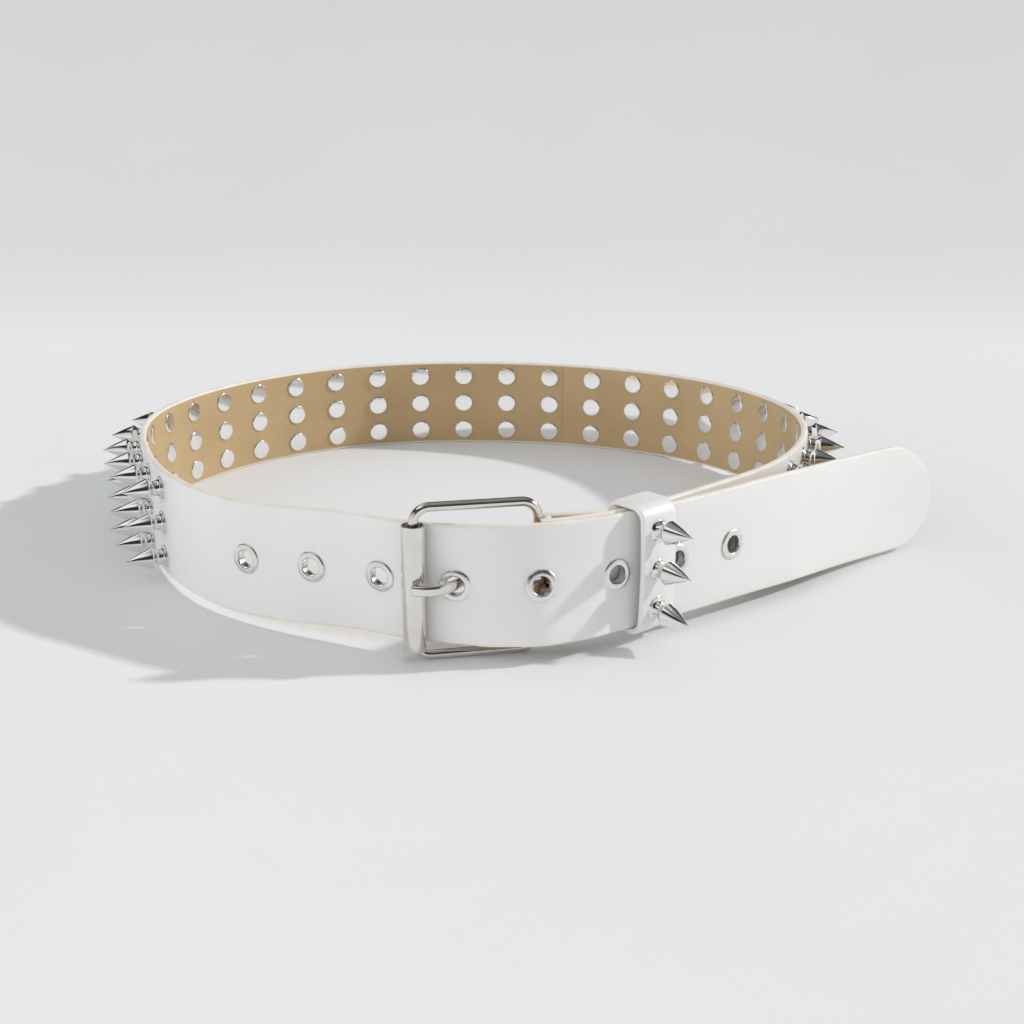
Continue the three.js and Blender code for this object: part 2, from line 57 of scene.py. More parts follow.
# The strap and the buckle come first, because the route of the strap hangs on both.
strap = {
    "width": 38,
    "thickness": 2.4,
    "loopRadius": 128,
    "tail": 214,                # from the prong's eyelet to the tip
    "leavesAt": -61.5,          # where the free end leaves the loop, under the keeper
    "tip": 21,                  # length of the rounded end
    "tipRoundness": 1.9,        # 2 is an ellipse
    "tipSteps": 18,
    "tipCrowding": 1.3,         # above 1, more of the steps are near the tip
    "tipThinnest": 0.25,        # a share of the thickness
    "foldBack": 47,             # leather turned back behind the buckle's bar
    "foldSteps": 14,
    "closeOver": 22,            # from the bar to where the turned end lies flat
    "layerGap": 0.6,            # between the free end and the layer behind it
    "slipsIn": (0.67, 0.86),    # the stretch of loop over which that layer moves in
    "sag": 0.5,                 # how far its middle hangs below the buckle's
    "edgeRound": 0.95,          # the rounding of the painted edges
    "step": 2.6,                # length of one stretch of band
    "faceSteps": 8,
    "cornerSteps": 4,
    "seamAlong": 437,           # the joint in the lining
    "seamWidth": 0.5,
    "seamDepth": 0.25,
    "clearance": 0.3,           # between pieces that touch
}
buckle = {
    "wire": 3.2,
    "height": 50,
    "corner": 5,
    "rollerAlong": 12.5,        # the roller's bar, from the prong's eyelet
    "barAlong": -25,            # the bar that the strap is folded round
    "wireSides": 24,
    "packedSides": 8,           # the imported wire's flats set how thick the wire can be
    "cornerSteps": 12,
}

# The waist loop from above, as shares of loopRadius every 20 degrees, from the front clockwise.
loopReach = [
    1.038, 0.893, 0.943, 0.922, 0.926, 1.012, 1.034, 1.04, 1.041,
    1.016, 1.033, 1.058, 1.034, 1.015, 0.972, 0.944, 0.929, 1.017,
]
# The free end's heading in degrees, by the share of its length after the keeper.
tailBends = {"along": [0, 0.2, 0.4, 0.6, 0.8, 1], "bend": [0, 2.3, 6, 8.8, 4.8, -2]}
# The strap's lower edge off the floor, as a share of its height at the buckle, round the loop.
lifts = {
    "along": [-0.26, -0.13, -0.03, 0.03, 0.11, 0.23, 0.56, 0.8, 0.9, 1],
    "lift": [0.15, 0.9, 1, 0.85, 0.35, 0, 0, 0.7, 1, 1],
}
# How far the outer layer's lower edge swings outward from its upper edge, in degrees, round the loop.
leans = {
    "along": [-0.27, -0.17, -0.11, -0.088, -0.066, -0.045, -0.03, -0.014, 0, 0.01, 0.03, 0.07, 0.15],
    "lean": [9, 6, 2, 1.2, 1.2, 5, 7.5, 5, 1.5, 0, 0, 3.5, 0],
}

halfThickness = strap["thickness"] / 2
clearance = strap["clearance"]
buckleLift = (buckle["height"] - strap["width"]) / 2 - strap["sag"]
layerPitch = strap["thickness"] + strap["layerGap"]
wireRadius = buckle["wire"] / 2
foldRadius = wireRadius + clearance + halfThickness
barOffset = layerPitch + foldRadius


# Small sums

def ease(share):
    t = min(max(share, 0), 1)
    return t * t * (3 - 2 * t)


def easeTable(table, column, along):
    marks = table["along"]
    values = table[column]
    if along <= marks[0]:
        return values[0]
    for i in range(1, len(marks)):
        if along <= marks[i]:
            share = (along - marks[i - 1]) / (marks[i] - marks[i - 1])
            return values[i - 1] + (values[i] - values[i - 1]) * ease(share)
    return values[-1]


def turnAbout(vector, degrees, axis=up):
    return Matrix.Rotation(math.radians(degrees), 3, axis) @ vector


def evenStops(start, end, step):
    parts = max(1, round(abs(end - start) / step))
    return [start + (end - start) * i / parts for i in range(parts + 1)]


# The strap's route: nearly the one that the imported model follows, a little fuller at the front left

def loopPoint(t):
    rows = len(loopReach)
    place = t * rows
    row = math.floor(place)
    f = place - row
    weights = (
        (1 - f) ** 3 / 6,
        (3 * f ** 3 - 6 * f ** 2 + 4) / 6,
        (-3 * f ** 3 + 3 * f ** 2 + 3 * f + 1) / 6,
        f ** 3 / 6,
    )
    reach = sum(weight * loopReach[(row - 1 + i) % rows] for i, weight in enumerate(weights))
    turn = t * 2 * math.pi
    return Vector((-math.sin(turn), -math.cos(turn), 0)) * reach * strap["loopRadius"]


loopParts = 2000
loopLengths = [0]
for part in range(loopParts):
    span = (loopPoint((part + 1) / loopParts) - loopPoint(part / loopParts)).length
    loopLengths.append(loopLengths[-1] + span)
loopLength = loopLengths[-1]


def loopPointAt(share):
    target = (share % 1) * loopLength
    low, high = 0, loopParts
    while high - low > 1:
        middle = (low + high) // 2
        if loopLengths[middle] <= target:
            low = middle
        else:
            high = middle
    within = (target - loopLengths[low]) / (loopLengths[low + 1] - loopLengths[low])
    return loopPoint((low + within) / loopParts)


def placed(point, heading, along):
    outward = Vector((-heading.y, heading.x, 0))
    lift = buckleLift * easeTable(lifts, "lift", along / loopLength)
    return SimpleNamespace(point=point, heading=heading, outward=outward, lift=lift, lean=0)


# Along is measured on the loop from the prong's eyelet, clockwise seen from above.
def loopPlace(along):
    share = along / loopLength
    nudge = 2e-4
    heading = (loopPointAt(share + nudge) - loopPointAt(share - nudge)).normalized()
    return placed(loopPointAt(share), heading, along)


def tailBend(share):
    marks = tailBends["along"]
    bends = tailBends["bend"]
    last = len(marks) - 1
    i = min(max(sum(1 for mark in marks if mark <= share), 1), last)
    p = (share - marks[i - 1]) / (marks[i] - marks[i - 1])
    before = bends[i - 2] if i > 1 else bends[i]
    after = bends[i + 1] if i < last else bends[i - 1]
    weightBefore = 0.25 if i > 1 else -0.5
    weightAfter = 0.25 if i < last else -0.5
    return (
        (-weightBefore * p ** 3 + 2 * weightBefore * p ** 2 - weightBefore * p) * before
        + ((1 + weightBefore) * p ** 3 - (1.5 + 2 * weightBefore) * p ** 2 + (weightBefore - 0.5) * p + 1)
        * bends[i - 1]
        + ((-1 - weightAfter) * p ** 3 + (1.5 + weightAfter) * p ** 2 + 0.5 * p) * bends[i]
        + (weightAfter * p ** 3 - weightAfter * p ** 2) * after
    )


tailFree = strap["tail"] + strap["leavesAt"]
tailSteps = 60


def tailRoute():
    start = loopPlace(strap["leavesAt"])
    places = [start]
    point = start.point.copy()
    for i in range(1, tailSteps + 1):
        heading = turnAbout(start.heading, tailBend((i - 0.5) / tailSteps))
        point = point - heading * (tailFree / tailSteps)
        places.append(placed(point, heading, strap["leavesAt"] - tailFree * i / tailSteps))
    return places


tailPlaces = tailRoute()


def tailPlace(along):
    step = min((strap["leavesAt"] - along) / tailFree * tailSteps, tailSteps - 0.001)
    i = math.floor(step)
    point = tailPlaces[i].point.lerp(tailPlaces[i + 1].point, step - i)
    heading = tailPlaces[i].heading.lerp(tailPlaces[i + 1].heading, step - i).normalized()
    return placed(point, heading, along)


def outerPlace(along):
    place = tailPlace(along) if along < strap["leavesAt"] else loopPlace(along)
    place.lean = easeTable(leans, "lean", along / loopLength)
    return place


def innerPlace(along, extra=0):
    place = loopPlace(along)
    start, end = strap["slipsIn"]
    share = (along / loopLength - start) / (end - start)
    place.point = place.point - place.outward * (layerPitch * ease(share) + extra)
    return place


def layerPlace(along):
    return outerPlace(along) if along < loopLength / 2 else innerPlace(along)


# The end that is turned back: it faces the other way.
def turnedBackPlace(along):
    closed = strap["thickness"] + 2 * clearance
    share = (buckle["barAlong"] - along) / strap["closeOver"]
    place = innerPlace(loopLength + along, 2 * foldRadius + (closed - 2 * foldRadius) * ease(share))
    place.outward = -place.outward
    place.heading = -place.heading
    return place


def beside(place, out, height=0):
    point = place.point + place.outward * out
    return Vector((point.x, point.y, height))


# A point of the leaning strap, "out" from its middle line and "rise" above it.
def onStrap(place, out, rise):
    lean = math.radians(place.lean)
    below = strap["width"] / 2 - rise
    point = beside(place, out * math.cos(lean) + below * math.sin(lean))
    point.z = place.lift + strap["width"] - below * math.cos(lean) + out * math.sin(lean)
    return point


def middleHeight(place):
    return place.lift + strap["width"] / 2


# Stands a shape on a place, its local Z outward, after it leans back and turns by these degrees.
def facing(place, height, lean, turn):
    outward = turnAbout(turnAbout(place.outward, lean, place.heading), turn)
    across = up.cross(outward).normalized()
    top = outward.cross(across)
    matrix = Matrix((across, top, outward)).transposed().to_4x4()
    matrix.translation = beside(place, 0, height)
    return matrix


def onOuterFace(place, rise=0, lean=0, turn=0):
    matrix = facing(place, 0, place.lean + lean, turn)
    matrix.translation = onStrap(place, 0, rise)
    return matrix


barPlace = loopPlace(buckle["barAlong"])
barCentre = beside(barPlace, -barOffset)


# Making meshes

def startShape():
    return SimpleNamespace(points=[], faces=[], kinds=[])


# Adds a skin over rings of equally many points; kinds gives the material of each side of the ring.
def addLoft(shape, rings, kinds=None, closed=False):
    corners = len(rings[0])
    start = len(shape.points)
    for ring in rings:
        shape.points.extend(ring)
    kinds = kinds or [0] * corners
    for i in range(len(rings) if closed else len(rings) - 1):
        here = start + i * corners
        ahead = start + (i + 1) % len(rings) * corners
        for j in range(corners):
            k = (j + 1) % corners
            shape.faces.append((here + j, here + k, ahead + k, ahead + j))
            shape.kinds.append(kinds[j])
    if not closed:
        last = start + (len(rings) - 1) * corners
        shape.faces.append(tuple(start + corners - 1 - j for j in range(corners)))
        shape.faces.append(tuple(last + j for j in range(corners)))
        shape.kinds.extend([kinds[-1], kinds[-1]])


# Adds a shape turned about local Z. The profile holds (radius, height); radius 0 closes it to a point.
def addTurned(shape, profile, sides, matrix, kind=0, ring=False):
    rows = []
    for radius, height in profile:
        if radius == 0:
            rows.append([len(shape.points)])
            shape.points.append(matrix @ Vector((0, 0, height)))
            continue
        rows.append(list(range(len(shape.points), len(shape.points) + sides)))
        for j in range(sides):
            angle = 2 * math.pi * j / sides
            point = Vector((radius * math.cos(angle), radius * math.sin(angle), height))
            shape.points.append(matrix @ point)
    pairs = list(zip(rows, rows[1:]))
    if ring:
        pairs.append((rows[-1], rows[0]))
    for lower, upper in pairs:
        for j in range(sides):
            k = (j + 1) % sides
            corners = [row[n % len(row)] for row, n in ((lower, j), (lower, k), (upper, k), (upper, j))]
            face = tuple(dict.fromkeys(corners))     # three corners where a row is a point
            if len(face) > 2:
                shape.faces.append(face)
                shape.kinds.append(kind)


# Rounds the corners of a turned profile, whose rows are (radius, height, rounding).
def rounded(profile, steps, ring=False):
    points = [Vector(row[:2]) for row in profile]
    result = []
    count = len(profile)
    for i, row in enumerate(profile):
        size = row[2] if len(row) > 2 else 0
        if size == 0 or (not ring and i in (0, count - 1)):
            result.append((points[i].x, points[i].y))
            continue
        before = points[i - 1] - points[i]
        after = points[(i + 1) % count] - points[i]
        reach = min(size, before.length * 0.49, after.length * 0.49)
        start = points[i] + before.normalized() * reach
        end = points[i] + after.normalized() * reach
        for step in range(steps + 1):
            t = step / steps
            point = start * (1 - t) ** 2 + points[i] * 2 * t * (1 - t) + end * t ** 2
            result.append((point.x, point.y))
    return result


def makeMesh(name, shape):
    mesh = bpy.data.meshes.new(name)
    mesh.from_pydata([(point + shift) * metre for point in shape.points], [], shape.faces)
    mesh.polygons.foreach_set("material_index", shape.kinds)
    work = bmesh.new()
    work.from_mesh(mesh)
    bmesh.ops.remove_doubles(work, verts=work.verts, dist=1e-7)
    bmesh.ops.recalc_face_normals(work, faces=work.faces)
    work.to_mesh(mesh)
    work.free()
    return mesh


def makeObject(name, shape, materials):
    thing = bpy.data.objects.new(name, makeMesh(name, shape))
    bpy.context.scene.collection.objects.link(thing)
    for material in materials:
        thing.data.materials.append(material)
    return thing


# Cuts or joins with other shapes and keeps the result as the object's own mesh.
def combine(thing, *steps):
    for operation, other in steps:
        modifier = thing.modifiers.new(operation, "BOOLEAN")
        modifier.operation = operation
        modifier.object = other
        modifier.solver = "MANIFOLD"
        modifier.material_mode = "TRANSFER"
    bpy.context.view_layer.update()
    evaluated = thing.evaluated_get(bpy.context.evaluated_depsgraph_get())
    mesh = bpy.data.meshes.new_from_object(evaluated)
    thing.modifiers.clear()
    old = thing.data
    thing.data = mesh
    bpy.data.meshes.remove(old)
    for operation, other in steps:
        bpy.data.objects.remove(other)


sharpAngle = 32     # edges sharper than this stay crisp


def finishPiece(thing, body, node):
    thing.data.shade_smooth()
    thing.data.set_sharp_from_angle(angle=math.radians(sharpAngle))
    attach(thing, body)
    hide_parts(node)
    print("belt:", thing.name, "has", len(thing.data.polygons), "faces")


# Materials

def startMaterial(name, values):
    material = bpy.data.materials.new(name)
    material.use_nodes = True
    shader = material.node_tree.nodes["Principled BSDF"]
    for socket, value in values.items():
        shader.inputs[socket].default_value = value
    return material


def addNode(tree, kind, inputs=None, **settings):
    node = tree.nodes.new(kind)
    for name, value in settings.items():
        setattr(node, name, value)
    for socket, value in (inputs or {}).items():
        if isinstance(value, bpy.types.NodeSocket):
            tree.links.new(value, node.inputs[socket])
        else:
            node.inputs[socket].default_value = value
    return node


def addNoise(tree, scale, detail, roughness=0.55, stretch=None):
    place = addNode(tree, "ShaderNodeTexCoord").outputs["Object"]
    if stretch:
        place = addNode(tree, "ShaderNodeMapping", {"Vector": place, "Scale": stretch}).outputs["Vector"]
    values = {"Vector": place, "Scale": scale, "Detail": detail, "Roughness": roughness}
    return addNode(tree, "ShaderNodeTexNoise", values).outputs["Fac"]


def addRange(tree, value, low, high, fromLow=0.3, fromHigh=0.7):
    values = {"Value": value, "From Min": fromLow, "From Max": fromHigh, "To Min": low, "To Max": high}
    return addNode(tree, "ShaderNodeMapRange", values).outputs["Result"]


# The mix node's sockets go by number: factor, then the first and second colour.
def addBlend(tree, factor, first, second, blendType="MIX"):
    node = addNode(tree, "ShaderNodeMix", data_type="RGBA", blend_type=blendType)
    for number, value in ((0, factor), (6, first), (7, second)):
        if isinstance(value, bpy.types.NodeSocket):
            tree.links.new(value, node.inputs[number])
        else:
            node.inputs[number].default_value = value
    return node.outputs[2]


def addBump(tree, height, depth, normal=None):
    values = {"Height": height, "Distance": depth * metre}
    if normal:
        values["Normal"] = normal
    return addNode(tree, "ShaderNodeBump", values).outputs["Normal"]


def plug(material, **sockets):
    tree = material.node_tree
    shader = tree.nodes["Principled BSDF"]
    names = {"color": "Base Color", "roughness": "Roughness", "normal": "Normal"}
    for name, value in sockets.items():
        tree.links.new(value, shader.inputs[names[name]])
    return material


def smoothLeather():
    look = {
        "bright": (0.845, 0.84, 0.83, 1),
        "dim": (0.80, 0.793, 0.777, 1),
        "cloudScale": 22,
        "rough": (0.34, 0.46),
        "roughScale": 90,
        "poreScale": 1500,
        "poreDepth": 0.012,
        "rippleScale": 160,
        "rippleDepth": 0.05,
    }
    material = startMaterial("whiteLeather", {"Coat Weight": 0.12, "Coat Roughness": 0.3})
    tree = material.node_tree
    cloud = addRange(tree, addNoise(tree, look["cloudScale"], 4), 0, 1)
    color = addBlend(tree, cloud, look["bright"], look["dim"])
    roughness = addRange(tree, addNoise(tree, look["roughScale"], 4), *look["rough"])
    place = addNode(tree, "ShaderNodeTexCoord").outputs["Object"]
    values = {"Scale": look["poreScale"], "Vector": place}
    pores = addNode(tree, "ShaderNodeTexVoronoi", values, feature="SMOOTH_F1").outputs["Distance"]
    ripple = addBump(tree, addNoise(tree, look["rippleScale"], 3), look["rippleDepth"])
    normal = addBump(tree, pores, look["poreDepth"], normal=ripple)
    return plug(material, color=color, roughness=roughness, normal=normal)


def edgePaint():
    look = {
        "bright": (0.86, 0.83, 0.78, 1),
        "dim": (0.78, 0.73, 0.66, 1),
        "cloudScale": 120,
        "rough": (0.42, 0.6),
        "roughScale": 260,
        "grainScale": 420,
        "grainDepth": 0.06,
    }
    material = startMaterial("edgePaint", {"Coat Weight": 0.05})
    tree = material.node_tree
    cloud = addRange(tree, addNoise(tree, look["cloudScale"], 4), 0, 1)
    color = addBlend(tree, cloud, look["bright"], look["dim"])
    roughness = addRange(tree, addNoise(tree, look["roughScale"], 3), *look["rough"])
    normal = addBump(tree, addNoise(tree, look["grainScale"], 4), look["grainDepth"])
    return plug(material, color=color, roughness=roughness, normal=normal)


def tanLining():
    look = {
        "bright": (0.565, 0.408, 0.225, 1),
        "dim": (0.48, 0.345, 0.183, 1),
        "fleck": (0.41, 0.287, 0.148, 1),
        "cloudScale": 30,
        "fibreScale": 1100,
        "rough": (0.58, 0.78),
        "roughScale": 200,
        "grainScale": 1400,
        "grainDepth": 0.05,
    }
    material = startMaterial("tanLining", {"Sheen Weight": 0.08, "Specular IOR Level": 0.35})
    tree = material.node_tree
    cloud = addRange(tree, addNoise(tree, look["cloudScale"], 5), 0, 1)
    fibre = addNoise(tree, look["fibreScale"], 5, 0.7, stretch=(1, 1, 0.35))
    fibre = addRange(tree, fibre, 0, 0.5, 0.5, 0.8)
    color = addBlend(tree, fibre, addBlend(tree, cloud, look["bright"], look["dim"]), look["fleck"])
    roughness = addRange(tree, addNoise(tree, look["roughScale"], 4), *look["rough"])
    normal = addBump(tree, addNoise(tree, look["grainScale"], 5, 0.7), look["grainDepth"])
    return plug(material, color=color, roughness=roughness, normal=normal)


metalScales = {"clouds": 140, "rough": 500, "waves": 210, "scratches": 2600}


# The colours, the roughness where it is smooth and worn, and the depth of its waves and scratches.
def polishedMetal(name, bright, dim, smooth, worn, wave, scratch):
    material = startMaterial(name, {"Metallic": 1.0})
    tree = material.node_tree
    cloud = addRange(tree, addNoise(tree, metalScales["clouds"], 4), 0, 1)
    color = addBlend(tree, cloud, bright, dim)
    roughness = addRange(tree, addNoise(tree, metalScales["rough"], 5, 0.65), smooth, worn)
    waves = addBump(tree, addNoise(tree, metalScales["waves"], 2), wave)
    fine = addNoise(tree, metalScales["scratches"], 3, 0.6, stretch=(1, 1, 0.15))
    normal = addBump(tree, fine, scratch, normal=waves)
    return plug(material, color=color, roughness=roughness, normal=normal)


leatherWhite = smoothLeather()
leatherEdge = edgePaint()
leatherTan = tanLining()
chrome = polishedMetal(
    "chrome", (0.90, 0.895, 0.88, 1), (0.82, 0.815, 0.80, 1), 0.04, 0.11, 0.02, 0.0015)
disc = polishedMetal(
    "chromeDisc", (0.99, 0.985, 0.98, 1), (0.95, 0.95, 0.955, 1), 0.05, 0.13, 0.01, 0.001)
nickel = polishedMetal(
    "nickel", (0.84, 0.81, 0.75, 1), (0.76, 0.73, 0.67, 1), 0.09, 0.2, 0.02, 0.003)
satin = polishedMetal(
    "satinNickel", (0.86, 0.86, 0.85, 1), (0.78, 0.78, 0.77, 1), 0.2, 0.32, 0.02, 0.003)
print("belt: materials made")


# The buckle's wire frame and its roller

roller = {
    "wall": 0.65,
    "play": 1.4,            # between the wire and the tube's inside
    "overBend": 3.3,        # how far its lower end reaches down over the wire's bend
    "headroom": 3.5,
    "sides": 64,
    "seamDepth": 0.18,
    "rimRound": 0.2,
}
rollerRadius = wireRadius + roller["play"] + roller["wall"]
rollerOffset = halfThickness + clearance + rollerRadius
rollerLow = wireRadius + buckle["corner"] - roller["overBend"]
rollerHigh = buckle["height"] - rollerLow - roller["headroom"]
rollerCentre = beside(loopPlace(buckle["rollerAlong"]), rollerOffset)
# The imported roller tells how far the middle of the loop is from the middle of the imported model.
low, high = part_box("roller")
packedRoller = (low + high) / 2 / metre
shift = Vector((packedRoller.x - rollerCentre.x, packedRoller.y - rollerCentre.y, 0))
buckleAcross = (rollerCentre - barCentre).normalized()
buckleMiddle = (rollerCentre + barCentre) / 2 + up * buckle["height"] / 2
buckleNormal = Vector((-buckleAcross.y, buckleAcross.x, 0))


# Points round a rounded rectangle, as (x, y, angle of the outward side).
def roundedRectangle(width, height, corner, steps, sideStep=None):
    result = []
    for quarter, (sx, sy) in enumerate(((1, 1), (-1, 1), (-1, -1), (1, -1))):
        for i in range(steps + 1):
            angle = (quarter + i / steps) * math.pi / 2
            x = sx * (width / 2 - corner) + corner * math.cos(angle)
            y = sy * (height / 2 - corner) + corner * math.sin(angle)
            result.append((x, y, angle))
        if sideStep:
            side = (height if quarter % 2 else width) - 2 * corner
            parts = max(1, round(side / sideStep))
            along = Vector((-math.sin(angle), math.cos(angle)))
            for i in range(1, parts):
                result.append((x + along.x * side * i / parts, y + along.y * side * i / parts, angle))
    return result


def makeFrame():
    span = (rollerCentre - barCentre).length
    flat = wireRadius * math.cos(math.pi / buckle["packedSides"])
    height = buckle["height"] - 2 * flat
    outline = roundedRectangle(span, height, buckle["corner"], buckle["cornerSteps"])
    rings = []
    for x, y, angle in outline:
        point = buckleMiddle + buckleAcross * x + up * y
        across = buckleAcross * math.cos(angle) + up * math.sin(angle)
        ring = []
        for i in range(buckle["wireSides"]):
            turn = 2 * math.pi * i / buckle["wireSides"]
            ring.append(point + across * flat * math.cos(turn) + buckleNormal * flat * math.sin(turn))
        rings.append(ring)
    shape = startShape()
    addLoft(shape, rings, closed=True)
    finishPiece(makeObject("buckleWire", shape, (nickel,)), "belt", "buckle_frame")


# A rolled tube: its seam is a shallow groove that faces away from the front at rest.
def makeRoller():
    bore = rollerRadius - roller["wall"]
    rim = roller["rimRound"]
    rows = [
        (bore, rollerLow, rim),
        (rollerRadius, rollerLow, rim),
        (rollerRadius, rollerHigh, rim),
        (bore, rollerHigh, rim),
    ]
    profile = rounded(rows, 3, ring=True)
    shape = startShape()
    addTurned(shape, profile, roller["sides"], Matrix.Translation(rollerCentre), ring=True)
    seamAngle = math.atan2(-buckleNormal.y, -buckleNormal.x)
    for i, point in enumerate(shape.points):
        radial = Vector((point.x - rollerCentre.x, point.y - rollerCentre.y))
        apart = abs((math.atan2(radial.y, radial.x) - seamAngle + math.pi) % (2 * math.pi) - math.pi)
        if radial.length > rollerRadius - rim / 4 and apart < math.pi / roller["sides"]:
            shape.points[i] = point - radial.normalized().to_3d() * roller["seamDepth"]
    finishPiece(makeObject("rollerTube", shape, (nickel,)), "roller", "roller")


# The prong, and the slot in the fold that it stands in

prong = {
    "width": 3.4,
    "depth": 2.1,
    "eyeWall": 1.8,
    "eyeRound": 0.5,
    "overhang": -1.8,       # how far its tip reaches past the middle of the roller
    "slot": 5.6,
    "slotReach": 9,         # from the bar to the slot's round end
    "slotEndSteps": 8,
    "slotStep": 2,
    "stretchSteps": 7,      # between two points of its route
    "tipSteps": 4,
    "tipReach": 0.35,       # a share of its depth
    "squareness": 0.75,     # 1 is an oval section, less is squarer
    "sides": 20,
    "eyeSides": 48,
}


# Cuts through the fold but not through the free end in front of it.
def slotShape():
    shape = startShape()
    half = prong["slot"] / 2
    near = -halfThickness - strap["layerGap"] / 2
    far = -barOffset - foldRadius - strap["thickness"]
    middle = middleHeight(barPlace)
    rings = []
    steps = prong["slotEndSteps"]
    length = prong["slotReach"] + foldRadius + strap["thickness"] + prong["slotStep"]
    stops = [half * (1 - math.cos(math.pi / 2 * i / steps)) for i in range(1, steps + 1)]
    stops += evenStops(half, length, prong["slotStep"])[1:]
    for distance in stops:
        rise = math.sqrt(max(half ** 2 - max(half - distance, 0) ** 2, 0))
        place = loopPlace(buckle["barAlong"] - prong["slotReach"] + distance)
        rings.append([
            beside(place, out, middle + side * rise)
            for out, side in ((near, -1), (near, 1), (far, 1), (far, -1))
        ])
    addLoft(shape, rings)
    return shape


def between(first, second, start, end, t):
    return first * ((end - t) / (end - start)) + second * ((t - start) / (end - start))


# A smooth line through the points.
def smoothLine(points, steps):
    padded = [points[0] * 2 - points[1]] + points + [points[-1] * 2 - points[-2]]
    result = []
    for i in range(1, len(padded) - 2):
        a, b, c, d = padded[i - 1:i + 3]
        marks = [0]
        for first, second in ((a, b), (b, c), (c, d)):
            marks.append(marks[-1] + math.sqrt((second - first).length))
        m, n, o, p = marks
        for step in range(steps if i < len(padded) - 3 else steps + 1):
            t = n + (o - n) * step / steps
            first = between(a, b, m, n, t)
            second = between(b, c, n, o, t)
            third = between(c, d, o, p, t)
            early = between(first, second, m, o, t)
            late = between(second, third, n, p, t)
            result.append(between(early, late, n, o, t))
    return result


def ovalRing(point, side, halfDepth, halfWidth):
    ring = []
    for i in range(prong["sides"]):
        angle = 2 * math.pi * i / prong["sides"]
        c, s = math.cos(angle), math.sin(angle)
        out = math.copysign(abs(c) ** prong["squareness"], c) * halfDepth
        rise = math.copysign(abs(s) ** prong["squareness"], s) * halfWidth
        ring.append(point + side * out + up * rise)
    return ring


def makeProng():
    height = middleHeight(barPlace)
    depth = prong["depth"]
    half = prong["width"] / 2
    eyeInside = wireRadius + clearance
    eyeMiddle = eyeInside + prong["eyeWall"] / 2
    under = halfThickness + clearance + depth / 2
    over = rollerOffset + rollerRadius + clearance + depth / 2
    reach = buckle["rollerAlong"]
    # The middle of the pin as (along, out): from its eye under the strap, up the hole, over the roller.
    route = [
        (buckle["barAlong"], eyeMiddle - barOffset),
        (buckle["barAlong"] * 0.75, eyeMiddle - barOffset),
        (-1.8 * depth, -under - clearance),
        (-0.4 * depth, -under + clearance),
        (0.2 * depth, 0.1),
        (0.6 * depth, under + 0.3),
        (0.3 * reach, over * 0.7),
        (0.55 * reach, over * 0.93),
        (0.85 * reach, over * 1.005),
        (reach + prong["overhang"], over * 1.005),
    ]
    points = [beside(loopPlace(along), out, height) for along, out in route]
    line = smoothLine(points, prong["stretchSteps"])
    rings = []
    for i, point in enumerate(line):
        heading = (line[min(i + 1, len(line) - 1)] - line[max(i - 1, 0)]).normalized()
        side = Vector((-heading.y, heading.x, 0))
        rings.append(ovalRing(point, side, depth / 2, half))
    heading = (line[-1] - line[-2]).normalized()
    for i in range(1, prong["tipSteps"] + 1):
        angle = math.pi / 2 * i / (prong["tipSteps"] + 0.2)     # stops just short of a point
        end = line[-1] + heading * depth * prong["tipReach"] * math.sin(angle)
        rings.append(ovalRing(end, side, depth / 2 * math.cos(angle), half * math.cos(angle)))
    shape = startShape()
    addLoft(shape, rings)
    pin = makeObject("prongPin", shape, (nickel,))
    matrix = Matrix.Translation(Vector((barCentre.x, barCentre.y, height)))
    outside = eyeInside + prong["eyeWall"]
    soft = prong["eyeRound"]
    eye = startShape()
    rows = rounded([(0, -half), (outside, -half, soft), (outside, half, soft), (0, half)], 4)
    addTurned(eye, rows, prong["eyeSides"], matrix)
    bore = startShape()
    wide = prong["width"]
    rows = [(0, -wide), (eyeInside, -wide), (eyeInside, wide), (0, wide)]
    addTurned(bore, rows, prong["eyeSides"], matrix)
    combine(
        pin,
        ("UNION", makeObject("eyeShape", eye, (nickel,))),
        ("DIFFERENCE", makeObject("eyeBore", bore, (nickel,))),
    )
    finishPiece(pin, "belt", "prong")


# The eyelets and their holes

eyelet = {
    "count": 8,
    "pitch": 25,
    "atProng": 4,
    "pull": 1.0,            # how far the prong has drawn the holes towards the roller
    "bore": 5.6,
    "wall": 0.5,
    "flange": 10,
    "flangeHeight": 0.6,
    "seat": 0.05,
    "holePlay": 0.12,
    "sides": 48,
}
eyeletStops = [
    (eyelet["atProng"] - 1 - i) * eyelet["pitch"] + eyelet["pull"] for i in range(eyelet["count"])
]


def holeShape():
    shape = startShape()
    radius = eyelet["bore"] / 2 + eyelet["wall"] + eyelet["holePlay"]
    behind = -halfThickness - strap["layerGap"] / 2
    front = strap["thickness"]
    profile = [(0, behind), (radius, behind), (radius, front), (0, front)]
    for along in eyeletStops:
        addTurned(shape, profile, eyelet["sides"], onOuterFace(outerPlace(along)))
    return shape


# From the barrel's inner end round the flange, which is turned over and rolled back into the bore.
def eyeletProfile():
    bore = eyelet["bore"] / 2
    outside = bore + eyelet["wall"]
    flange = eyelet["flange"] / 2
    seat = halfThickness + eyelet["seat"]
    top = seat + eyelet["flangeHeight"]
    rows = [
        (bore, -halfThickness, 0.15),
        (outside, -halfThickness, 0.15),
        (outside, seat, 0.1),
        (flange - 0.1, seat, 0.05),
        (flange, seat + 0.15, 0.12),
        (flange - 0.3, seat + 0.4, 0.25),
        (outside + 0.6, top, 0.35),
        (bore + 0.3, top, 0.3),
        (bore, top - 0.5, 0.3),
    ]
    return rounded(rows, 4, ring=True)


